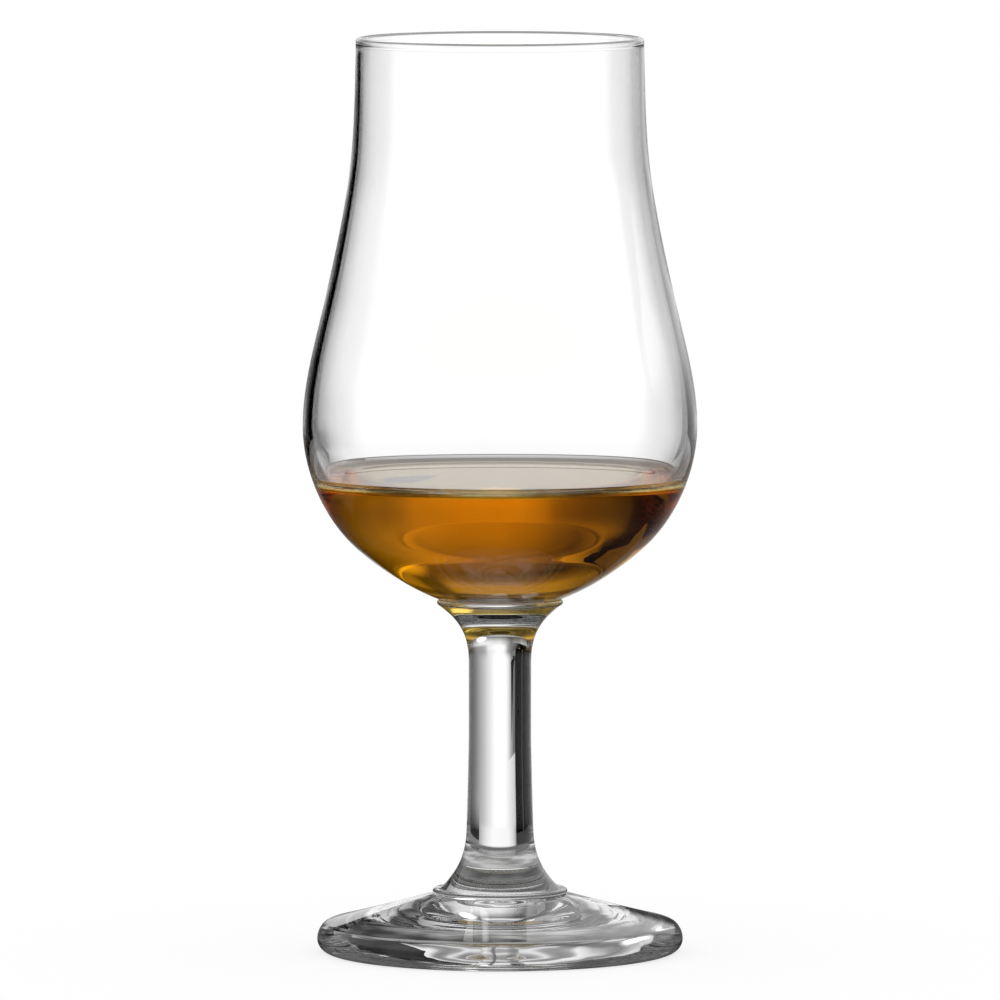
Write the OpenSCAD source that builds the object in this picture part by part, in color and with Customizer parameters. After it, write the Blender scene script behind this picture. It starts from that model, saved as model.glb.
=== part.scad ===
// Whisky nosing glass: a thin tulip bowl, a pressed stem and a thick pressed foot,
// fused at two joint rings, with a poured measure of whisky standing in the bowl.
// Millimetres, +Z up, origin at the centre of the foot on the table.
// Every lean is an angle from straight up: 0 rises, 90 runs outward, 180 falls.

/* [Foot] */
// Radius of the foot at its widest
foot_r = 30; // [28.5:0.1:32]
// Height of the foot where the stem stands on it
foot_h = 9.7; // [8.9:0.1:10.7]
// Radius of the level pad under the stem
pad_r = 10.6; // [10:0.1:10.9]
// Radius where the sloping top starts to turn over
shoulder_r = 28.3; // [27.4:0.1:28.4]
// Height of the top surface at that radius
shoulder_h = 4.85; // [4.3:0.05:5.4]
// Radius of the rounded edge under the widest line
edge_r = 2.15; // [1.85:0.05:2.5]
// Width of the flat ring that the glass stands on
rest_w = 1.2; // [0.8:0.1:2]
// Height of the shallow hollow under the foot
hollow_h = 2.7; // [1.9:0.1:3.3]
// Lean of the sloping top beside the pad
slope_in_lean = 106.5; // [104:0.5:109]
// Lean of the sloping top at the shoulder
slope_out_lean = 103.5; // [101:0.5:106]

/* [Stem] */
// Height of the stem, with both joint rings
stem_h = 48.3; // [44:0.1:53]
// Radius of the stem at its narrowest
waist_r = 5.13; // [4.7:0.01:5.7]
// Height above the stem's base where the narrowest part begins
waist_h = 25.1; // [23:0.1:27]
// Radius that the slowly widening shaft would reach at the stem's base
shaft_r = 5.8; // [5.75:0.05:6.2]
// Radius of the flare where it meets the lower joint ring
low_flare_r = 9.8; // [9.1:0.1:10.4]
// Height of the lower flare
low_flare_h = 10.5; // [9.5:0.1:12]
// Radius of the lower joint ring
low_ring_r = 11.05; // [11:0.05:11.7]
// Thickness of the lower joint ring
low_ring_t = 0.72; // [0.5:0.02:1]
// Radius of the flare where it meets the upper joint ring
up_flare_r = 10.05; // [9.3:0.05:10.2]
// Height of the upper flare
up_flare_h = 10.4; // [9.3:0.1:12]
// Radius of the upper joint ring
up_ring_r = 10.35; // [10.25:0.05:11]
// Thickness of the upper joint ring
up_ring_t = 0.92; // [0.6:0.02:1.2]

/* [Bowl] */
// Height of the bowl, from the stem's top to the rim
bowl_h = 92; // [87:0.1:99]
// Radius of the bowl's base, which sits on the upper joint ring
base_r = 9.85; // [9.5:0.05:10.2]
// Outer radius low down, where the bowl's base has opened out
hip_r = 23.26; // [22.2:0.02:24.8]
// Height of that place above the bowl's base
hip_h = 8.25; // [7.6:0.05:9.1]
// Outer radius at the belly, the widest line
belly_r = 32.3; // [30.8:0.05:34]
// Height of the belly above the bowl's base
belly_h = 28.4; // [27:0.1:30]
// Outer radius on the tapering side
side_r = 28.55; // [27.5:0.05:29.6]
// Height of that place above the bowl's base
side_h = 49.6; // [46.5:0.1:52.6]
// Outer radius where the taper straightens out
chimney_r = 24.85; // [24.1:0.05:25.8]
// Height of that place above the bowl's base
chimney_h = 68.2; // [65:0.1:71.3]
// Outer radius at the rim
rim_r = 23.57; // [22.5:0.01:24.4]
// Depth below the rim to which the straight part reaches
rim_drop = 1.65; // [1.4:0.05:2.5]

/* [Walls] */
// Thickness of the glass in the middle of the bowl's floor
floor_t = 3.2; // [2.5:0.1:4.2]
// Wall at the hip, measured level
hip_wall = 3.8; // [3.2:0.1:4.8]
// Wall at the belly
belly_wall = 1.5; // [1.2:0.05:1.85]
// Wall on the tapering side
side_wall = 1.32; // [1.12:0.02:1.54]
// Wall where the taper straightens out
chimney_wall = 1.04; // [0.88:0.02:1.24]
// Wall below the rim
rim_wall = 0.8; // [0.74:0.02:0.94]
// Radius of the fire-polished bead round the rim
bead_r = 0.54; // [0.48:0.02:0.62]
// Depth below the rim at which the bead has faded into the wall
bead_drop = 3.3; // [3:0.1:5]

/* [Whisky] */
// Height of the whisky's level surface above the bowl's base
fill_h = 19.1; // [14:0.1:25]
// Rise of the whisky where it clings to the wall
cling_h = 1.55; // [1:0.05:2]
// Width of the ring over which it rises
cling_w = 4.6; // [3.6:0.1:6]

/* [Hidden] */

// Leans of the bowl's profile, outside and inside
base_lean = 70;
hip_lean = 49;
hip_inner_lean = 54;
side_lean = -12.7;
chimney_lean = -8.4;
rim_lean = -1.3;
bead_lean = -4;
hollow_lean = -40;

// Shapes of the stem's flares and of the whisky's rise at the wall
taper_power = 1.2;
low_flare_power = 2.7;
up_flare_power = 3;
cling_power = 4;

// Counts of steps along each profile
round_steps = 128;
span_steps = 11;
edge_steps = 8;
stem_steps = 52;
cling_steps = 12;

glass_clear = [0.86, 0.91, 0.93, 0.4];
amber = [0.78, 0.40, 0.05, 0.85];

stem_z = foot_h;
bowl_z = foot_h + stem_h;
rest_r = foot_r - edge_r;

// A place on a profile: radius, height and the lean of the curve there
bowl_outside = [
    [base_r, 0, base_lean],
    [hip_r, hip_h, hip_lean],
    [belly_r, belly_h, 0],
    [side_r, side_h, side_lean],
    [chimney_r, chimney_h, chimney_lean],
    [rim_r, bowl_h - rim_drop, rim_lean]
];
bowl_inside = [
    [0, floor_t, 90],
    [hip_r - hip_wall, hip_h, hip_inner_lean],
    [belly_r - belly_wall, belly_h, 0],
    [side_r - side_wall, side_h, side_lean],
    [chimney_r - chimney_wall, chimney_h, chimney_lean],
    [rim_r - rim_wall, bowl_h - bead_drop, rim_lean]
];

// Direction of a lean, as radius and height
function heading(lean) = [sin(lean), cos(lean)];

// One point of the smooth cubic from place a to place b, at share t of the way
function blend(a, b, t) =
    let (
        from = [a[0], a[1]],
        to = [b[0], b[1]],
        reach = norm(to - from)
    )
    (2 * pow(t, 3) - 3 * pow(t, 2) + 1) * from
    + (pow(t, 3) - 2 * pow(t, 2) + t) * reach * heading(a[2])
    + (3 * pow(t, 2) - 2 * pow(t, 3)) * to
    + (pow(t, 3) - pow(t, 2)) * reach * heading(b[2]);

// The cubic from a to b in equal steps, without its last point
function span(a, b) = [for (i = [0 : span_steps - 1]) blend(a, b, i / span_steps)];

// A smooth curve through a list of places, with its last point
function curve(places) = concat(
    [for (i = [0 : len(places) - 2]) each span(places[i], places[i + 1])],
    [[places[len(places) - 1][0], places[len(places) - 1][1]]]
);

// A list of points from its end to its start
function backward(points) = [for (i = [len(points) - 1 : -1 : 0]) points[i]];

// Part of a circle's outline about a centre, from one lean to another
function arc(centre, r, lean_a, lean_b) = [
    for (i = [0 : edge_steps]) centre + r * heading(lean_a + (lean_b - lean_a) * i / edge_steps)
];

inside_points = curve(bowl_inside);
inside_by_height = [for (p = inside_points) [p[1], p[0]]];

// Inner radius of the bowl at a height above its base
function inner_r(h) = lookup(h, inside_by_height);

// Radius of the stem at a height above its base: shaft, lower flare and upper flare
function stem_r(h) =
    let (
        above_ring = h - low_ring_t,
        below_ring = stem_h - up_ring_t - h
    )
    waist_r
    + (shaft_r - waist_r) * pow(max(0, 1 - h / waist_h), taper_power)
    + (low_flare_r - shaft_r) * pow(max(0, 1 - above_ring / low_flare_h), low_flare_power)
    + (up_flare_r - waist_r) * pow(max(0, 1 - below_ring / up_flare_h), up_flare_power);

// Heights along the stem between its rings, closer together towards both ends
function stem_height(i) =
    let (
        low = low_ring_t,
        high = stem_h - up_ring_t
    )
    (low + high) / 2 - (high - low) / 2 * cos(180 * i / stem_steps);

// Thick foot: level pad, sloping top, rounded edge, flat ring and shallow hollow
module foot() {
    shoulder = [shoulder_r, shoulder_h, slope_out_lean];
    widest = [foot_r, edge_r, 180];
    top = curve([[pad_r, foot_h, slope_in_lean], shoulder, widest]);
    edge = arc([rest_r, edge_r], edge_r, 90, 180);
    hollow = curve([[rest_r - rest_w, 0, hollow_lean], [0, hollow_h, -90]]);
    color(glass_clear)
        rotate_extrude($fn = round_steps)
            polygon(concat([[0, foot_h]], top, [for (i = [1 : edge_steps]) edge[i]], hollow));
}

// Stem: lower joint ring, lower flare, shaft, upper flare and upper joint ring
module stem() {
    low_half = low_ring_t / 2;
    up_half = up_ring_t / 2;
    side = [for (i = [0 : stem_steps]) [stem_r(stem_height(i)), stem_height(i)]];
    low_ring = arc([low_ring_r - low_half, low_half], low_half, 180, 0);
    up_lean = 180 - asin(max(0, up_flare_r - up_ring_r + up_half) / up_half);
    up_ring = arc([up_ring_r - up_half, stem_h - up_half], up_half, up_lean, 0);
    color(glass_clear)
        translate([0, 0, stem_z])
            rotate_extrude($fn = round_steps)
                polygon(concat([[0, 0]], low_ring, side, up_ring, [[0, stem_h]]));
}

// Bowl: outer wall, rounded bead over the rim, bead fading into the inner wall, floor
module bowl() {
    bead_z = bowl_h - bead_r;
    bead = arc([rim_r - bead_r, bead_z], bead_r, 90, -90);
    fade = backward(span([rim_r - rim_wall, bowl_h - bead_drop, rim_lean],
                         [rim_r - 2 * bead_r, bead_z, bead_lean]));
    color(glass_clear)
        translate([0, 0, bowl_z])
            rotate_extrude($fn = round_steps)
                polygon(concat([[0, 0]], curve(bowl_outside), bead, fade,
                               [for (i = [len(inside_points) - 2 : -1 : 0]) inside_points[i]]));
}

// Whisky: fills the bowl's floor, lies level, and clings to the wall round its edge
module whisky() {
    cling_z = fill_h + cling_h;
    cling_r = inner_r(cling_z);
    wet_wall = [for (p = inside_points) if (p[1] < cling_z) p];
    surface = [
        for (i = [0 : cling_steps])
            [cling_r - cling_w * i / cling_steps,
             fill_h + cling_h * pow(1 - i / cling_steps, cling_power)]
    ];
    color(amber)
        translate([0, 0, bowl_z])
            rotate_extrude($fn = round_steps)
                polygon(concat(wet_wall, surface, [[0, fill_h]]));
}

bowl();
stem();
foot();
whisky();
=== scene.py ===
import math

import bpy
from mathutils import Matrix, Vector


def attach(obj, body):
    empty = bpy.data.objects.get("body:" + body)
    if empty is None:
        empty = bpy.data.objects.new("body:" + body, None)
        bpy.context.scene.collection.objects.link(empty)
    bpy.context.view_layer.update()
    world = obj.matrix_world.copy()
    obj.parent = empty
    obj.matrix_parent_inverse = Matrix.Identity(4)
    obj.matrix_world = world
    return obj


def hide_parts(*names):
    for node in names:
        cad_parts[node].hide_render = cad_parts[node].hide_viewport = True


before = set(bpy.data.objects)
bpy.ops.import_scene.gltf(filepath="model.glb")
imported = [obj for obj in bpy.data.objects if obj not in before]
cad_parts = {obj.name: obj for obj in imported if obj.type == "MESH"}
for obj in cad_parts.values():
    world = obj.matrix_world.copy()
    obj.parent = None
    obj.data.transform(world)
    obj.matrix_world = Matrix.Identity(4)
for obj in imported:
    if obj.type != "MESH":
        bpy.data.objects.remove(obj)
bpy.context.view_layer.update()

# Sizes and places are in millimetres and degrees, and these two turn them into metres and radians
MM = 0.001
DEGREE = math.pi / 180
TINY = 1e-9  # a length under this counts as none

# The glass's sizes: the same named places as in the CAD model, sampled more finely here
FOOT_R, FOOT_H, PAD_R = 30.0, 9.7, 10.6
SHOULDER_R, SHOULDER_H, EDGE_R = 28.3, 4.85, 2.15
REST_W, HOLLOW_H = 1.2, 2.7
SLOPE_IN_LEAN, SLOPE_OUT_LEAN, HOLLOW_LEAN = 106.5, 103.5, -40.0

STEM_H, WAIST_R, WAIST_H, SHAFT_R = 48.3, 5.13, 25.1, 5.8
LOW_FLARE_R, LOW_FLARE_H, LOW_RING_R, LOW_RING_T = 9.8, 10.5, 11.05, 0.72
UP_FLARE_R, UP_FLARE_H, UP_RING_R, UP_RING_T = 10.05, 10.4, 10.35, 0.92
TAPER_POWER, LOW_FLARE_POWER, UP_FLARE_POWER = 1.2, 2.7, 3.0

BOWL_H = 92.0
BASE_R, BASE_LEAN = 9.85, 70.0
HIP_R, HIP_H, HIP_LEAN, HIP_INNER_LEAN = 23.26, 8.25, 49.0, 54.0
BELLY_R, BELLY_H = 32.3, 28.4
SIDE_R, SIDE_H, SIDE_LEAN = 28.55, 49.6, -12.7
CHIMNEY_R, CHIMNEY_H, CHIMNEY_LEAN = 24.85, 68.2, -8.4
RIM_R, RIM_DROP, RIM_LEAN = 23.57, 1.65, -1.3
FLOOR_T, HIP_WALL, BELLY_WALL, SIDE_WALL = 3.2, 3.8, 1.5, 1.32
CHIMNEY_WALL, RIM_WALL = 1.04, 0.8
BEAD_R, BEAD_DROP, BEAD_LEAN = 0.54, 3.3, -4.0
BEAD_SWELL = 1.5  # depth below the rim at which the bead's swelling begins

FILL_H, CLING_H, CLING_W, CLING_POWER = 19.1, 1.55, 4.6, 4.0
SOAK = 0.05  # how far the liquid's mesh reaches into the wall, so that no gap shows

STEM_Z = FOOT_H
BOWL_Z = FOOT_H + STEM_H

# Counts of steps: round the axis, then along the stretches of each profile
ROUND = 240
BOWL_STEPS, BEAD_STEPS, FADE_STEPS = 26, 18, 10
STEM_STEPS, RING_STEPS = 120, 12
TOP_STEPS, EDGE_STEPS, HOLLOW_STEPS = 26, 16, 40
WET_STEPS, CLING_STEPS = 60, 40

# How glass and whisky bend light, and what the whisky takes from it
GLASS_IOR, WHISKY_IOR = 1.52, 1.36
WHISKY_COLOUR, WHISKY_DENSITY = (0.9215, 0.746, 0.0, 1), 130.0
STEM_MIRROR = 0.5  # share of its mirrored light that the stem keeps where it faces the eye
JOINT_GRAIN, JOINT_SPREAD, JOINT_CLEARNESS = 300.0, (0.3, 0.7), (0.985, 1.0)

# Ripples of each surface: the scale of their noise and their height
GLASS_RIPPLE = (40.0, 0.01)
FOOT_TOP_RIPPLE = (60.0, 0.03)
FOOT_RIPPLE = (90.0, 0.12)
STEM_RIPPLE = (60.0, 0.02)
WHISKY_RIPPLE = (300.0, 0.1)
# The whisky's ripples begin over this stretch, above its level surface
RIPPLE_START, RIPPLE_REACH = 0.15, 0.5

BASE_SKIN = 0.5  # faces of the bowl no higher than this are its base
DOWNWARD = -0.2  # a face whose normal points lower than this faces down


# Profiles: lists of (radius, height)
def heading(lean):
    """Direction of a lean, as radius and height: 0 rises, 90 runs outward."""
    a = math.radians(lean)
    return math.sin(a), math.cos(a)


def blend(a, b, t):
    """One point of the smooth cubic from place a to place b, at share t of the way."""
    reach = math.hypot(b[0] - a[0], b[1] - a[1])
    ha, hb = heading(a[2]), heading(b[2])
    w0, w1 = 2 * t**3 - 3 * t**2 + 1, (t**3 - 2 * t**2 + t) * reach
    w2, w3 = 3 * t**2 - 2 * t**3, (t**3 - t**2) * reach
    return tuple(w0 * a[i] + w1 * ha[i] + w2 * b[i] + w3 * hb[i] for i in (0, 1))


def curve(places, steps):
    """A smooth curve through places of (radius, height, lean), with both its ends."""
    points = [blend(a, b, i / steps) for a, b in zip(places, places[1:]) for i in range(steps)]
    return points + [tuple(places[-1][:2])]


def arc(centre, r, lean_a, lean_b, steps):
    """Part of a circle about a centre, from one lean to another."""
    points = []
    for i in range(steps + 1):
        h = heading(lean_a + (lean_b - lean_a) * i / steps)
        points.append((centre[0] + r * h[0], centre[1] + r * h[1]))
    return points


BOWL_OUTSIDE = [
    (BASE_R, 0, BASE_LEAN),
    (HIP_R, HIP_H, HIP_LEAN),
    (BELLY_R, BELLY_H, 0),
    (SIDE_R, SIDE_H, SIDE_LEAN),
    (CHIMNEY_R, CHIMNEY_H, CHIMNEY_LEAN),
    (RIM_R, BOWL_H - RIM_DROP, RIM_LEAN),
]
BOWL_INSIDE = [
    (0, FLOOR_T, 90),
    (HIP_R - HIP_WALL, HIP_H, HIP_INNER_LEAN),
    (BELLY_R - BELLY_WALL, BELLY_H, 0),
    (SIDE_R - SIDE_WALL, SIDE_H, SIDE_LEAN),
    (CHIMNEY_R - CHIMNEY_WALL, CHIMNEY_H, CHIMNEY_LEAN),
    (RIM_R - RIM_WALL, BOWL_H - BEAD_DROP, RIM_LEAN),
]


def bowl_profile():
    """Outer wall, bead over the rim, the bead's fade into the inner wall, and the rest of that wall."""
    bead_z = BOWL_H - BEAD_R
    bead = arc((RIM_R - BEAD_R, bead_z), BEAD_R, 90, -90, BEAD_STEPS)
    wall_end = (RIM_R - RIM_WALL, BOWL_H - BEAD_DROP, RIM_LEAN)
    swell_r = RIM_R - RIM_WALL - math.tan(math.radians(-RIM_LEAN)) * (BEAD_DROP - BEAD_SWELL)
    swell_start = (swell_r, BOWL_H - BEAD_SWELL, RIM_LEAN)
    fade = curve([wall_end, swell_start, (RIM_R - 2 * BEAD_R, bead_z, BEAD_LEAN)], FADE_STEPS)
    inside = curve(BOWL_INSIDE, BOWL_STEPS)
    return curve(BOWL_OUTSIDE, BOWL_STEPS) + bead + fade[-2::-1] + inside[-2::-1]


def stem_r(h):
    """Radius of the stem at a height above its base: waist, shaft, lower flare and upper flare."""
    above_ring = h - LOW_RING_T
    below_ring = STEM_H - UP_RING_T - h
    shaft = (SHAFT_R - WAIST_R) * max(0, 1 - h / WAIST_H) ** TAPER_POWER
    low_flare = (LOW_FLARE_R - SHAFT_R) * max(0, 1 - above_ring / LOW_FLARE_H) ** LOW_FLARE_POWER
    up_flare = (UP_FLARE_R - WAIST_R) * max(0, 1 - below_ring / UP_FLARE_H) ** UP_FLARE_POWER
    return WAIST_R + shaft + low_flare + up_flare


def stem_profile():
    """Lower joint ring, side and upper joint ring. The side's points lie closer towards its ends."""
    low, high = LOW_RING_T, STEM_H - UP_RING_T
    side = []
    for i in range(STEM_STEPS + 1):
        h = (low + high) / 2 - (high - low) / 2 * math.cos(math.pi * i / STEM_STEPS)
        side.append((stem_r(h), h))
    low_half, up_half = LOW_RING_T / 2, UP_RING_T / 2
    low_ring = arc((LOW_RING_R - low_half, low_half), low_half, 180, 0, RING_STEPS)
    up_lean = 180 - math.degrees(math.asin(max(0, UP_FLARE_R - UP_RING_R + up_half) / up_half))
    up_ring = arc((UP_RING_R - up_half, STEM_H - up_half), up_half, up_lean, 0, RING_STEPS)
    return low_ring + side + up_ring


def foot_profile():
    """Hollow, rest ring, rounded edge and sloping top, from the middle below to the pad's edge."""
    rest_r = FOOT_R - EDGE_R
    shoulder = (SHOULDER_R, SHOULDER_H, SLOPE_OUT_LEAN)
    top = curve([(PAD_R, FOOT_H, SLOPE_IN_LEAN), shoulder, (FOOT_R, EDGE_R, 180)], TOP_STEPS)
    edge = arc((rest_r, EDGE_R), EDGE_R, 90, 180, EDGE_STEPS)
    hollow = curve([(rest_r - REST_W, 0, HOLLOW_LEAN), (0, HOLLOW_H, -90)], HOLLOW_STEPS)
    return (top + edge[1:] + hollow)[::-1]


def wet_wall():
    """The bowl's inner wall, up to where the whisky's edge clings to it."""
    inside = curve(BOWL_INSIDE, WET_STEPS)
    cling_z = FILL_H + CLING_H
    above = next(i for i, (r, h) in enumerate(inside) if h > cling_z)
    (r0, h0), (r1, h1) = inside[above - 1:above + 1]
    share = (cling_z - h0) / (h1 - h0)
    return inside[:above] + [(r0 + (r1 - r0) * share, cling_z)]


def soaked(wall):
    """A wall's points moved outward by SOAK, square to it. The first lies on the axis and moves down."""
    moved = []
    for i, (r, h) in enumerate(wall):
        before, after = wall[max(0, i - 1)], wall[min(len(wall) - 1, i + 1)]
        run, rise = after[0] - before[0], after[1] - before[1]
        length = math.hypot(run, rise)
        out = (rise / length, -run / length) if i else (0, -1)
        moved.append((r + SOAK * out[0], h + SOAK * out[1]))
    return moved


def whisky_profile():
    """Wet wall, then the surface: it falls from the wall, where it clings, to its level middle."""
    wall = wet_wall()
    cling_r = wall[-1][0]
    surface = []
    for i in range(CLING_STEPS + 1):
        share = i / CLING_STEPS
        surface.append((cling_r - CLING_W * share, FILL_H + CLING_H * (1 - share) ** CLING_POWER))
    return soaked(wall) + surface + [(0, FILL_H)]


# Meshes
def mesh_object(name, corners, faces, materials):
    """An object in the scene. Its corners are in millimetres."""
    mesh = bpy.data.meshes.new(name)
    mesh.from_pydata([(x * MM, y * MM, z * MM) for x, y, z in corners], [], faces)
    for material in materials:
        mesh.materials.append(material)
    obj = bpy.data.objects.new(name, mesh)
    bpy.context.scene.collection.objects.link(obj)
    return obj


def circle(r, steps):
    """Points of a circle about the axis, as (x, y)."""
    turns = [2 * math.pi * k / steps for k in range(steps)]
    return [(r * math.cos(a), r * math.sin(a)) for a in turns]


def revolve(name, profile, base, materials, caps=()):
    """A closed mesh of revolution that stands at a base height. caps are the heights of its flat faces that
    meet another piece. They take the second material."""
    corners, rings = [], []
    for r, h in profile:
        first = len(corners)
        ring = [(0, 0)] if r < TINY else circle(r, ROUND)
        corners += [(x, y, h + base) for x, y in ring]
        rings.append(range(first, len(corners)))
    faces, marks = [], []
    for i, a in enumerate(rings):
        after = (i + 1) % len(rings)
        b = rings[after]
        if len(a) == 1 and len(b) == 1:
            continue
        ends = (profile[i][1], profile[after][1])
        flat = any(all(abs(end - cap) < TINY for end in ends) for cap in caps)
        for k in range(ROUND):
            k2 = (k + 1) % ROUND
            if len(a) == 1:
                faces.append((a[0], b[k2], b[k]))
            elif len(b) == 1:
                faces.append((a[k], a[k2], b[0]))
            else:
                faces.append((a[k], a[k2], b[k2], b[k]))
            marks.append(1 if flat else 0)
    obj = mesh_object(name, corners, faces, materials)
    obj.data.validate()
    for poly, mark in zip(obj.data.polygons, marks):
        poly.material_index = mark
        poly.use_smooth = True
    return obj


# Helpers for node trees. Each makes its nodes in the tree and gives back an output
FALL = (1, 0)


def grey(level):
    """A colour of one brightness."""
    return (level, level, level, 1)


def feed(tree, value, socket):
    """Link an output to a socket, or give the socket a fixed value."""
    if isinstance(value, bpy.types.NodeSocket):
        tree.links.new(value, socket)
    else:
        socket.default_value = value


def place(tree, kind="Object"):
    """Where a point of the surface lies, as a vector."""
    return tree.nodes.new("ShaderNodeTexCoord").outputs[kind]


def parts(tree, vector):
    """A vector's X, Y and Z."""
    split = tree.nodes.new("ShaderNodeSeparateXYZ")
    tree.links.new(vector, split.inputs[0])
    return split.outputs


def noise(tree, vector, scale):
    node = tree.nodes.new("ShaderNodeTexNoise")
    node.inputs["Scale"].default_value = scale
    tree.links.new(vector, node.inputs["Vector"])
    return node.outputs[0]


def math_node(tree, operation, *values):
    node = tree.nodes.new("ShaderNodeMath")
    node.operation = operation
    for value, socket in zip(values, node.inputs):
        feed(tree, value, socket)
    return node.outputs[0]


def vector_node(tree, operation, *values):
    node = tree.nodes.new("ShaderNodeVectorMath")
    node.operation = operation
    for value, socket in zip(values, node.inputs):
        feed(tree, value, socket)
    return node.outputs["Value"]


def smooth(tree, source, edge, unit=1, levels=(0, 1)):
    """A smooth step over an edge of (low, high), from the first level to the second."""
    node = tree.nodes.new("ShaderNodeMapRange")
    node.interpolation_type = "SMOOTHSTEP"
    node.inputs["From Min"].default_value = edge[0] * unit
    node.inputs["From Max"].default_value = edge[1] * unit
    node.inputs["To Min"].default_value = levels[0]
    node.inputs["To Max"].default_value = levels[1]
    tree.links.new(source, node.inputs["Value"])
    return node.outputs["Result"]


def ramp(tree, source, stops, unit):
    """A grey ramp through stops of (place, brightness), from the first stop's place to the last one's."""
    low, high = stops[0][0], stops[-1][0]
    share = tree.nodes.new("ShaderNodeMapRange")
    share.inputs["From Min"].default_value = low * unit
    share.inputs["From Max"].default_value = high * unit
    tree.links.new(source, share.inputs["Value"])
    node = tree.nodes.new("ShaderNodeValToRGB")
    tree.links.new(share.outputs["Result"], node.inputs[0])
    elements = node.color_ramp.elements
    elements.remove(elements[-1])
    for i, (at, level) in enumerate(stops):
        position = (at - low) / (high - low)
        element = elements.new(position) if i else elements[0]
        element.position = position
        element.color = grey(level)
    return node.outputs["Color"]


def mix_colour(tree, share, a, b, blend_type="MIX"):
    node = tree.nodes.new("ShaderNodeMix")
    node.data_type = "RGBA"
    node.blend_type = blend_type
    for value, socket in ((share, node.inputs[0]), (a, node.inputs[6]), (b, node.inputs[7])):
        feed(tree, value, socket)
    return node.outputs[2]


def mix_shader(tree, share, a, b):
    node = tree.nodes.new("ShaderNodeMixShader")
    for value, socket in zip((share, a, b), node.inputs):
        feed(tree, value, socket)
    return node.outputs[0]


def coloured(tree, kind, colour):
    """A shader of some kind that has a colour: Emission, Background, BsdfDiffuse or BsdfTransparent."""
    node = tree.nodes.new("ShaderNode" + kind)
    feed(tree, colour, node.inputs["Color"])
    return node.outputs[0]


def mirrored(tree, path):
    """1 for a ray that a surface has just mirrored, 0 for one that has just come through it."""
    return math_node(tree, "SUBTRACT", path.outputs["Is Glossy Ray"], path.outputs["Is Transmission Ray"])


def show(tree, shader, kind="Material"):
    """Make a shader the surface of a material or of the world."""
    out = tree.nodes.new("ShaderNodeOutput" + kind)
    tree.links.new(shader, out.inputs["Surface"])


def new_material(name):
    """An empty material and its node tree."""
    material = bpy.data.materials.new(name)
    material.use_nodes = True
    material.node_tree.nodes.clear()
    return material, material.node_tree


# Materials of the glass and the whisky
def clear_material(name, ior, ripples, mirror=1, above=None):
    """A clear body with faint uneven ripples. mirror scales what it mirrors where it faces the eye, and above
    is the stretch of heights over which the ripples begin."""
    material, tree = new_material(name)
    scale, height = ripples
    vector = place(tree)
    level = noise(tree, vector, scale)
    if above:
        level = math_node(tree, "MULTIPLY", level, smooth(tree, parts(tree, vector)[2], above, MM))
    bump = tree.nodes.new("ShaderNodeBump")
    bump.inputs["Distance"].default_value = height * MM
    tree.links.new(level, bump.inputs["Height"])
    body = tree.nodes.new("ShaderNodeBsdfPrincipled")
    body.inputs["Base Color"].default_value = grey(1)
    body.inputs["Roughness"].default_value = 0.0
    body.inputs["IOR"].default_value = ior
    body.inputs["Transmission Weight"].default_value = 1.0
    body.inputs["Specular Tint"].default_value = grey(mirror)
    tree.links.new(bump.outputs[0], body.inputs["Normal"])
    show(tree, body.outputs[0])
    return material


def joint_material():
    """The flat faces where two pieces of glass are fused: clear, unbent and very slightly uneven."""
    material, tree = new_material("fused_joint")
    clearness = smooth(tree, noise(tree, place(tree), JOINT_GRAIN), JOINT_SPREAD, 1, JOINT_CLEARNESS)
    show(tree, coloured(tree, "BsdfTransparent", clearness))
    return material


def whisky_material():
    """The liquid: clear and amber, mirroring only at a slant, with ripples along its edge at the wall."""
    start = BOWL_Z + FILL_H + RIPPLE_START
    above = (start, start + RIPPLE_REACH)
    material = clear_material("whisky", WHISKY_IOR, WHISKY_RIPPLE, mirror=0, above=above)
    tree = material.node_tree
    absorb = tree.nodes.new("ShaderNodeVolumeAbsorption")
    absorb.inputs["Color"].default_value = WHISKY_COLOUR
    absorb.inputs["Density"].default_value = WHISKY_DENSITY
    tree.links.new(absorb.outputs[0], tree.nodes["Material Output"].inputs["Volume"])
    return material


joint = joint_material()


# The four pieces
def make_bowl():
    """The bowl. Its base is a joint, and its inner wall where the liquid lies mirrors only at a slant."""
    glass = clear_material("clear_glass", GLASS_IOR, GLASS_RIPPLE)
    wet_glass = clear_material("wet_glass", GLASS_IOR, GLASS_RIPPLE, mirror=0)
    obj = revolve("bowl_glass", [(0, 0)] + bowl_profile(), BOWL_Z, [glass, joint, wet_glass], caps=(0,))
    for poly in obj.data.polygons:
        outward = Vector((poly.center.x, poly.center.y, 0))
        by_liquid = BASE_SKIN < poly.center.z / MM - BOWL_Z < FILL_H + CLING_H
        if by_liquid and poly.normal.dot(outward) <= 0 and poly.normal.z > DOWNWARD:
            poly.material_index = 2
    return obj


def make_stem():
    """The stem. Both its ends are joints."""
    glass = clear_material("stem_glass", GLASS_IOR, STEM_RIPPLE, mirror=STEM_MIRROR)
    profile = [(0, 0)] + stem_profile() + [(0, STEM_H)]
    return revolve("stem_glass", profile, STEM_Z, [glass, joint], caps=(0, STEM_H))


def make_foot():
    """The foot. Its pad is a joint, and its underside ripples more than its top."""
    top_glass = clear_material("foot_top_glass", GLASS_IOR, FOOT_TOP_RIPPLE)
    under_glass = clear_material("foot_glass", GLASS_IOR, FOOT_RIPPLE)
    materials = [top_glass, joint, under_glass]
    obj = revolve("foot_glass", foot_profile() + [(0, FOOT_H)], 0, materials, caps=(FOOT_H,))
    for poly in obj.data.polygons:
        if poly.normal.z < DOWNWARD:
            poly.material_index = 2
    return obj


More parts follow.
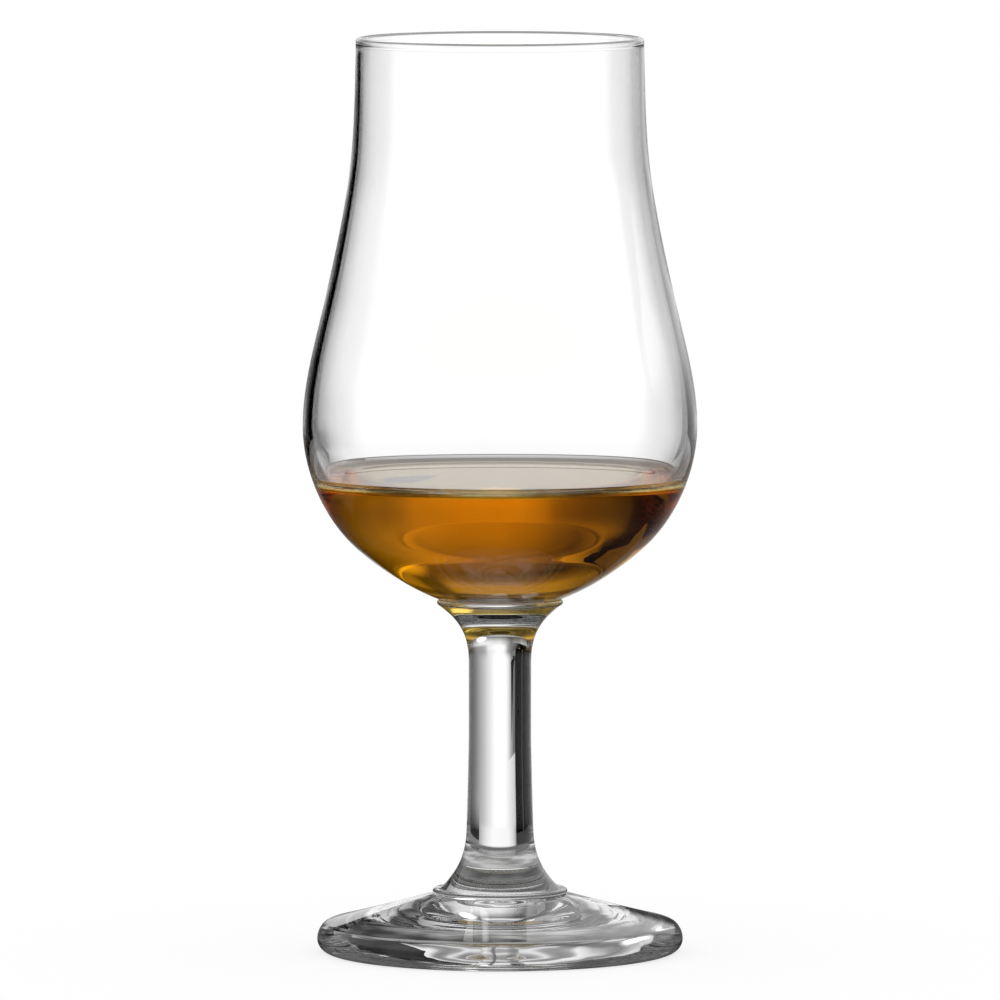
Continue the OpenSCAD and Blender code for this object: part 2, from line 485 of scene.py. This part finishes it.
bowl = make_bowl()
stem = make_stem()
foot = make_foot()
pour = revolve("whisky_pour", whisky_profile(), BOWL_Z, [whisky_material()])
for piece, node, slot in ((bowl, "bowl", "clear_glass"), (stem, "stem", "clear_glass"),
                          (foot, "foot", "clear_glass"), (pour, "whisky", "whisky")):
    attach(piece, "root")
    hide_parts(node)


# Floor: a glow, and a share of grey that takes the glass's shadow. Mirrored in the glass it shows a painted
# reflection, nearly black
FLOOR_R = 120
DISC_STEPS = 96
# The last value is a painted reflection: the near black that the floor shows to rays the glass mirrors
FLOOR_GLOW, SHADOW_GREY, SHADOW_SHARE, FLOOR_PAINTED_REFLECTION = 1.1, 0.8, 0.3, 0.03
# The table that shows through the glass is painted light and shade: a painted shadow by distance under the
# foot, and painted light and shade by direction round it
PAINTED_SHADOW_UNDER = [(0, 0.4), (15, 0.38), (21, 0.1), (50, 0.1)]
PAINTED_SHADE_ROUND = [(-180, 0.42), (-90, 0.35), (-45, 0.05), (-16, 0.03), (-11, 0.3), (12, 0.3), (22, 0.3),
               (32, 0.2), (60, 0.2), (90, 0.32), (180, 0.42)]
UNDER_EDGE = (34, 44)
# Streaks in the painted shadow under the foot: their noise scale, spread and levels
STREAK_SCALE, STREAK_SPREAD, STREAK_LEVELS = 130.0, (0.38, 0.62), (0.6, 1.45)
# Towards the camera it is pale, over these edges in Y and in distance
TABLE_FRONT, FRONT_EDGE, FRONT_REACH = 0.95, (-40, 0), (45, 110)


def painted_table_shade(tree):
    """The table as the glass shows it, in painted light and shade: a streaky painted shadow under the foot,
    dark on the left beyond it, and pale towards the camera.
    """
    vector = place(tree)
    x, y = parts(tree, vector)[:2]
    distance = vector_node(tree, "LENGTH", vector)
    around = ramp(tree, math_node(tree, "ARCTAN2", x, y), PAINTED_SHADE_ROUND, DEGREE)
    front = smooth(tree, y, FRONT_EDGE, MM, FALL)
    front = math_node(tree, "MULTIPLY", front, smooth(tree, distance, FRONT_REACH, MM))
    around = mix_colour(tree, front, around, grey(TABLE_FRONT))
    streaks = smooth(tree, noise(tree, vector, STREAK_SCALE), STREAK_SPREAD, 1, STREAK_LEVELS)
    # Painted shadow under the foot, made streaky by noise
    under = mix_colour(tree, 1.0, ramp(tree, distance, PAINTED_SHADOW_UNDER, MM), streaks, "MULTIPLY")
    return mix_colour(tree, smooth(tree, distance, UNDER_EDGE, MM), under, around)


def stage_floor():
    """A pale floor that keeps the glass's shadow. Through the glass it shows a table of painted light and
    shade, and mirrored in the glass a painted dark reflection.
    """
    material, tree = new_material("floor")
    path = tree.nodes.new("ShaderNodeLightPath")
    glow = tree.nodes.new("ShaderNodeEmission")
    glow.inputs["Color"].default_value = grey(1)
    glow.inputs["Strength"].default_value = FLOOR_GLOW
    shadowed = coloured(tree, "BsdfDiffuse", grey(SHADOW_GREY))
    seen = mix_shader(tree, SHADOW_SHARE, glow.outputs[0], shadowed)
    # Rays that come through the glass see this painted table shade instead of the lit floor
    table = coloured(tree, "Emission", painted_table_shade(tree))
    seen = mix_shader(tree, path.outputs["Is Transmission Ray"], seen, table)
    # Painted reflection: rays that the glass mirrors see the floor nearly black
    dark = coloured(tree, "Emission", grey(FLOOR_PAINTED_REFLECTION))
    show(tree, mix_shader(tree, mirrored(tree, path), seen, dark))
    corners = [(0, 0, 0)] + [(x, y, 0) for x, y in circle(FLOOR_R, DISC_STEPS)]
    faces = [(0, 1 + k, 1 + (k + 1) % DISC_STEPS) for k in range(DISC_STEPS)]
    mesh_object("floor", corners, faces, [material])


# The screen behind the glass: brightness by direction from left to right, low, above the horizon and high up
SCREEN_LOW = [(-90, 0.02), (-61, 0.02), (-52, 0.04), (-46, 0.07), (-40, 0.15), (-34, 0.25), (-30, 0.34),
              (-26, 0.42), (-22, 0.49), (-19, 0.58), (-16, 0.67), (-12, 0.78), (-9, 0.88), (-7, 0.95),
              (-5, 1), (5, 1), (7, 0.95), (9, 0.88), (12, 0.78), (16, 0.67), (19, 0.58), (22, 0.49),
              (26, 0.42), (30, 0.34), (34, 0.27), (40, 0.17), (46, 0.12), (52, 0.08), (61, 0.06), (90, 0.05)]
SCREEN_ABOVE = [(-90, 0.02), (-60, 0.02), (-46, 0.05), (-30, 0.13), (-20, 0.16), (-16, 0.18), (-14, 0.2),
                (-11, 0.29), (-9, 0.41), (-8, 0.56), (-7, 0.7), (-6, 0.8), (-3, 1), (3, 1), (6, 0.95),
                (12, 0.8), (15, 0.74), (18, 0.48), (22, 0.34), (26, 0.32), (34, 0.26), (46, 0.1), (60, 0.05),
                (90, 0.05)]
SCREEN_HIGH = [(-90, 0.05), (-60, 0.1), (-31, 0.6), (-27, 0.35), (-20, 0.35), (-14, 0.22), (-10, 0.4),
               (-6, 0.66), (0, 0.9), (7, 0.88), (13, 0.98), (18, 1), (26, 1), (34, 0.8), (48, 0.4),
               (60, 0.2), (90, 0.1)]
ABOVE_EDGE, HIGH_EDGE = (-4, 3), (7, 14)
# Its brightness by height
SCREEN_UP = [(-90, 0.6), (-16, 0.62), (-10, 1.05), (-4, 1.09), (0, 1.06), (2, 1.02), (3.5, 1.06), (5, 1.14),
             (6, 1.17), (9, 1.07), (13, 0.95), (15, 0.9), (16.5, 0.83), (18, 0.74), (20, 0.62), (24, 0.47),
             (27, 0.34), (31, 0.15), (38, 0.05), (90, 0.02)]
# The small lamp up on the right: the direction to it, its soft edge and its brightness
LAMP_AIM, LAMP_EDGE, LAMP_LEVEL = (0.41, 0.8, 0.44), (10, 3), 1.6
# The softbox overhead, by height and by direction from left to right
BOX_UP = [(-90, 0), (29, 0), (33, 0.3), (36, 0.7), (43, 0.9), (45, 0.3), (47, 0.2), (49, 0.3), (50.5, 0.8),
          (52.5, 0.25), (57, 0.2), (60, 0.45), (64, 0.03), (90, 0.02)]
BOX_ACROSS = [(-90, 0.3), (-35, 0.3), (-25, 0.6), (-15, 1), (14, 1), (18, 0.15), (24, 0.15), (28, 0.8),
              (50, 1.2), (62, 1.2), (90, 0.3)]
# The room beyond the screen's ends, by height up or down
ROOM = [(0, 1), (10, 1), (16, 0.75), (22, 0.55), (30, 0.38), (40, 0.19), (50, 0.08), (90, 0.05),
        (180, 0.05)]
ROOM_EDGE = (72, 85)
# The far table, and the paler one beyond the screen's ends and on the left
TABLE_LEVEL, TABLE_EDGE = 0.25, (-24, -15)
BESIDE_LEVEL, BESIDE_EDGE, BESIDE_LEFT_EDGE = 0.9, (-16, -11), (-36, -28)
# What the glass mirrors, by angle from straight behind, dimmer low on both sides and brighter overhead
MIRRORED = [(0, 1), (8, 0.9), (16, 0.73), (22, 0.55), (30, 0.38), (40, 0.15), (50, 0.03), (180, 0.02)]
MIRRORED_LEFT, MIRRORED_LEFT_EDGE = 0.12, (-12, -3)
MIRRORED_RIGHT, MIRRORED_RIGHT_EDGE = 0.4, (3, 12)
MIRRORED_LOW_EDGE = (-1, 3)
OVERHEAD_SHARE, OVERHEAD_EDGE = 0.9, (1, 10)


def screen_light(tree, azimuth, elevation):
    """The glowing screen, brightest in its middle, that falls off to the sides and quickly upward."""
    levels = (SCREEN_LOW, SCREEN_ABOVE, SCREEN_HIGH)
    low, above, high = (ramp(tree, azimuth, stops, DEGREE) for stops in levels)
    across = mix_colour(tree, smooth(tree, elevation, ABOVE_EDGE, DEGREE), low, above)
    across = mix_colour(tree, smooth(tree, elevation, HIGH_EDGE, DEGREE), across, high)
    return mix_colour(tree, 1.0, across, ramp(tree, elevation, SCREEN_UP, DEGREE), "MULTIPLY")


def lamp_light(tree, direction):
    """The small lamp."""
    nearness = vector_node(tree, "DOT_PRODUCT", direction, LAMP_AIM)
    edge = [math.cos(angle * DEGREE) for angle in LAMP_EDGE]
    return smooth(tree, nearness, edge, 1, (0, LAMP_LEVEL))


def box_light(tree, azimuth, elevation):
    """The softbox."""
    up = ramp(tree, elevation, BOX_UP, DEGREE)
    return mix_colour(tree, 1.0, up, ramp(tree, azimuth, BOX_ACROSS, DEGREE), "MULTIPLY")


def studio_light(tree, direction, azimuth, elevation):
    """The light that comes through the glass: screen, lamp, softbox, the room beyond them and the table."""
    lit = mix_colour(tree, 1.0, screen_light(tree, azimuth, elevation), lamp_light(tree, direction), "ADD")
    lit = mix_colour(tree, 1.0, lit, box_light(tree, azimuth, elevation), "ADD")
    room = ramp(tree, math_node(tree, "ABSOLUTE", elevation), ROOM, DEGREE)
    aside = smooth(tree, math_node(tree, "ABSOLUTE", azimuth), ROOM_EDGE, DEGREE)
    seen = mix_colour(tree, aside, lit, room)
    seen = mix_colour(tree, smooth(tree, elevation, TABLE_EDGE, DEGREE, FALL), seen, grey(TABLE_LEVEL))
    left = smooth(tree, azimuth, BESIDE_LEFT_EDGE, DEGREE, FALL)
    beside = math_node(tree, "MULTIPLY", smooth(tree, elevation, BESIDE_EDGE, DEGREE, FALL),
                       math_node(tree, "MAXIMUM", left, aside))
    return mix_colour(tree, beside, seen, grey(BESIDE_LEVEL))


def mirrored_light(tree, off_axis, azimuth, elevation):
    """The light that the glass mirrors. It is softer than the light that comes through."""
    light = ramp(tree, off_axis, MIRRORED, DEGREE)
    overhead = smooth(tree, elevation, OVERHEAD_EDGE, DEGREE, (0.0, OVERHEAD_SHARE))
    light = mix_colour(tree, overhead, light, grey(1))
    left = smooth(tree, azimuth, MIRRORED_LEFT_EDGE, DEGREE, (MIRRORED_LEFT, 1))
    right = smooth(tree, azimuth, MIRRORED_RIGHT_EDGE, DEGREE, (1, MIRRORED_RIGHT))
    sides = math_node(tree, "MULTIPLY", left, right)
    sides = math_node(tree, "MAXIMUM", sides, smooth(tree, elevation, MIRRORED_LOW_EDGE, DEGREE))
    return mix_colour(tree, 1.0, light, sides, "MULTIPLY")


def stage_world():
    """A world that is plain white for the camera and the floor, and a studio through the glass."""
    world = bpy.data.worlds.new("studio")
    bpy.context.scene.world = world
    world.use_nodes = True
    tree = world.node_tree
    tree.nodes.clear()
    direction = place(tree, "Generated")
    x, y, z = parts(tree, direction)
    azimuth = math_node(tree, "ARCTAN2", x, y)
    elevation = math_node(tree, "ARCSINE", z)
    off_axis = math_node(tree, "ARCCOSINE", y)
    through = coloured(tree, "Background", studio_light(tree, direction, azimuth, elevation))
    mirror = coloured(tree, "Background", mirrored_light(tree, off_axis, azimuth, elevation))
    white = coloured(tree, "Background", grey(1))
    path = tree.nodes.new("ShaderNodeLightPath")
    seen = mix_shader(tree, mirrored(tree, path), through, mirror)
    plain = math_node(tree, "MAXIMUM", path.outputs["Is Camera Ray"], path.outputs["Is Diffuse Ray"])
    show(tree, mix_shader(tree, plain, seen, white), "World")


# The wide flag behind on the left: from side to side, distance behind the axis, and the heights of its black
# part and of its grey part below
FLAG_ACROSS, FLAG_BACK = (-300, -30), 320
FLAG_UP, GREY_FLAG_UP, GREY_FLAG_LEVEL = (28, 140), (-10, 28), 0.15
# How much light it lets through from left to right, high up and low down, and the heights between the two
FLAG_LETS = [(-180, 0), (-165, 0), (-140, 0.1), (-122, 0.35), (-100, 0.7), (-81, 0.88), (-68, 0.96),
             (-58, 1), (-30, 1)]
LOW_FLAG_LETS = [(-180, 0), (-100, 0), (-91.8, 0.3), (-79.8, 0.42), (-73.9, 0.55), (-68, 0.75),
                 (-56.4, 0.92), (-45, 1), (-30, 1)]
FLAG_LETS_RISE = (44, 70)

# The flags that draw the bowl's outline. Its radius is this share of the way aside to their near edge, and
# they hang this much lower. Then come their far edge and the height on the bowl from which they reach up
OUTLINE_SHARE, OUTLINE_DROP, OUTLINE_FAR, OUTLINE_FROM = 0.84, 2, 110, 15.5
# Their soft near edge as a share of their width, the stretch over which they fade upward, and their steps
OUTLINE_SOFT_SHARE, OUTLINE_FADE, OUTLINE_STEPS = 0.05, 30, 12
# The heights on the bowl at which they have faded, and the right one's brightness. The left one is black
LEFT_OUTLINE_TOP, RIGHT_OUTLINE_TOP, RIGHT_OUTLINE_LEVEL = 112, 50, 0.12

# Cards close behind the foot: from side to side, distance behind the axis, heights, brightness and fade
RIGHT_FLAG, RIGHT_FLAG_LEVEL, RIGHT_FLAG_FADE = ((21, 55), 45, (4, 20)), 0.02, (10, 18)
WHITE_CARD, WHITE_CARD_FADE = ((-11, 16), 36, (4, 16.8)), (14.3, 16.5)
WHITE_ACROSS = [(-11, 0.3), (-8.5, 0.7), (-5, 0.95), (4, 1.0), (8, 0.85), (12, 0.62), (16, 0.4)]
# Shaped cards: distance behind the axis, outline as (x, z), and brightness
SHAPES = {
    "flag_corner": (319, [(-112, 30), (-108, 22), (-86, -1), (-78, 22), (-88, 30)], 0.0),
    "brown_card": (101, [(-42, 47), (-23, 47), (-26, 53), (-36, 60), (-42, 56)], 0.18),
    "grey_card": (150, [(-77, 42), (-50, 42), (-56, 48.8), (-62, 62), (-74, 72.5), (-77, 72.5)], 0.17),
}
# The flags beside the stem, from side to side and with their brightness
STEM_FLAGS = {"stem_flag_a": (-15.5, -8.6, 0.0), "stem_flag_gap": (-16.3, -15.5, 0.08),
              "stem_flag_b": (-45, -16.3, 0.0)}
STEM_FLAGS_BACK, STEM_FLAGS_UP = 30, (14, 53)
# The low band round the foot
BAND_R, BAND_BOTTOM, BAND_TOP, BAND_LEVEL, BAND_FADE_SHARE = 34, 0.5, 6.5, 0.13, 0.6


def card(name, corners, faces, fill):
    """A studio card that shows only through the glass or mirrored in it. fill makes its shader."""
    material, tree = new_material(name)
    show(tree, fill(tree))
    obj = mesh_object(name, corners, faces, [material])
    obj.visible_camera = False
    obj.visible_diffuse = False
    obj.visible_shadow = False
    return obj


def flat_card(name, back, outline, fill):
    """A flat card across the view, with its outline as (x, z)."""
    card(name, [(x, back, z) for x, z in outline], [tuple(range(len(outline)))], fill)


def upright(name, across, back, up, fill):
    """A flat upright card, from side to side and from bottom to top."""
    left, right = across
    bottom, top = up
    flat_card(name, back, [(left, bottom), (right, bottom), (right, top), (left, top)], fill)


def plain_fill(level):
    """One brightness all over."""
    return lambda tree: coloured(tree, "Emission", grey(level))


def soft_fill(level):
    """The wide flag, which lets less and less light through to the left and shows its own grey instead."""
    def fill(tree):
        x, y, z = parts(tree, place(tree))
        low, high = (ramp(tree, x, stops, MM) for stops in (LOW_FLAG_LETS, FLAG_LETS))
        lets = mix_colour(tree, smooth(tree, z, FLAG_LETS_RISE, MM), low, high)
        return mix_shader(tree, lets, plain_fill(level)(tree), coloured(tree, "BsdfTransparent", grey(1)))
    return fill


def fading_fill(levels, fade):
    """A brightness that fades out upward. levels is one brightness, or stops of (x, brightness)."""
    def fill(tree):
        x, y, z = parts(tree, place(tree))
        colour = ramp(tree, x, levels, MM) if isinstance(levels, list) else grey(levels)
        own = coloured(tree, "Emission", colour)
        return mix_shader(tree, smooth(tree, z, fade, MM), own, coloured(tree, "BsdfTransparent", grey(1)))
    return fill


def outline_fill(level, top):
    """A brightness that begins softly at the near edge and fades out towards a top height on the bowl."""
    def fill(tree):
        across, height = parts(tree, place(tree, "UV"))[:2]
        near_edge = smooth(tree, across, (0, OUTLINE_SOFT_SHARE))
        top_edge = smooth(tree, height, (top - OUTLINE_FADE, top), 1, FALL)
        share = math_node(tree, "MULTIPLY", near_edge, top_edge)
        return mix_shader(tree, share, coloured(tree, "BsdfTransparent", grey(1)), plain_fill(level)(tree))
    return fill


def outline_flag(name, side, level, top):
    """A flag close behind the bowl's left edge (side -1) or right edge (1) that follows its outline and draws
    the dark line there. It points straight away from the axis, so that from two slanting sides it is seen
    edge on. The bowl doesn't mirror it."""
    corners, heights = [], []
    for r, h in curve(BOWL_OUTSIDE, OUTLINE_STEPS):
        if OUTLINE_FROM < h < top:
            near = r / OUTLINE_SHARE
            z = BOWL_Z + h - OUTLINE_DROP
            corners += [(side * near, near, z), (side * OUTLINE_FAR, OUTLINE_FAR, z)]
            heights += [h, h]
    faces = [(i, i + 1, i + 3, i + 2) for i in range(0, len(corners) - 2, 2)]
    obj = card(name, corners, faces, outline_fill(level, top))
    obj.visible_glossy = False
    layer = obj.data.uv_layers.new(name="across")
    for loop in obj.data.loops:
        layer.data[loop.index].uv = (loop.vertex_index % 2, heights[loop.vertex_index])


def low_band():
    """A dull band low round the foot."""
    ring = circle(BAND_R, DISC_STEPS)
    corners = [(x, y, z) for z in (BAND_BOTTOM, BAND_TOP) for x, y in ring]
    faces = []
    for k in range(DISC_STEPS):
        k2 = (k + 1) % DISC_STEPS
        faces.append((k, k2, DISC_STEPS + k2, DISC_STEPS + k))
    card("low_band", corners, faces, fading_fill(BAND_LEVEL, (BAND_TOP * BAND_FADE_SHARE, BAND_TOP)))


def stage_cards():
    """Flags and cards behind the glass and beside it, and a band round the foot."""
    upright("flag", FLAG_ACROSS, FLAG_BACK, FLAG_UP, soft_fill(0.0))
    upright("grey_flag", FLAG_ACROSS, FLAG_BACK, GREY_FLAG_UP, soft_fill(GREY_FLAG_LEVEL))
    outline_flag("left_outline_flag", -1, 0.0, LEFT_OUTLINE_TOP)
    outline_flag("right_outline_flag", 1, RIGHT_OUTLINE_LEVEL, RIGHT_OUTLINE_TOP)
    upright("right_flag", *RIGHT_FLAG, fading_fill(RIGHT_FLAG_LEVEL, RIGHT_FLAG_FADE))
    upright("white_card", *WHITE_CARD, fading_fill(WHITE_ACROSS, WHITE_CARD_FADE))
    for name, (back, outline, level) in SHAPES.items():
        flat_card(name, back, outline, plain_fill(level))
    for name, (left, right, level) in STEM_FLAGS.items():
        upright(name, (left, right), STEM_FLAGS_BACK, STEM_FLAGS_UP, plain_fill(level))
    low_band()


# Camera: lens and sensor, near and far limit in metres, downward tilt, height aimed at, and distance
LENS, SENSOR_W = 450, 36
NEAR_LIMIT, FAR_LIMIT = 0.1, 20
CAMERA_TILT, AIM_H, CAMERA_BACK = 4.81, 74.27, 2046


def stage_camera():
    """The photograph's view: a long lens that looks slightly down."""
    data = bpy.data.cameras.new("camera")
    data.lens = LENS
    data.sensor_width = SENSOR_W
    data.clip_start, data.clip_end = NEAR_LIMIT, FAR_LIMIT
    cam = bpy.data.objects.new("camera", data)
    bpy.context.scene.collection.objects.link(cam)
    tilt = math.radians(CAMERA_TILT)
    back = Vector((0, -math.cos(tilt), math.sin(tilt)))
    cam.location = Vector((0, 0, AIM_H * MM)) + back * (CAMERA_BACK * MM)
    cam.rotation_mode = "QUATERNION"
    cam.rotation_quaternion = (-back).to_track_quat("-Z", "Y")
    bpy.context.scene.camera = cam


stage_floor()
stage_world()
stage_cards()
stage_camera()
bpy.context.scene.view_settings.view_transform = "Standard"
# Light turns many times inside thick clear glass before it leaves
BOUNCES = 40
bpy.context.scene.cycles.max_bounces = BOUNCES
bpy.context.scene.cycles.glossy_bounces = BOUNCES
bpy.context.scene.cycles.transmission_bounces = BOUNCES
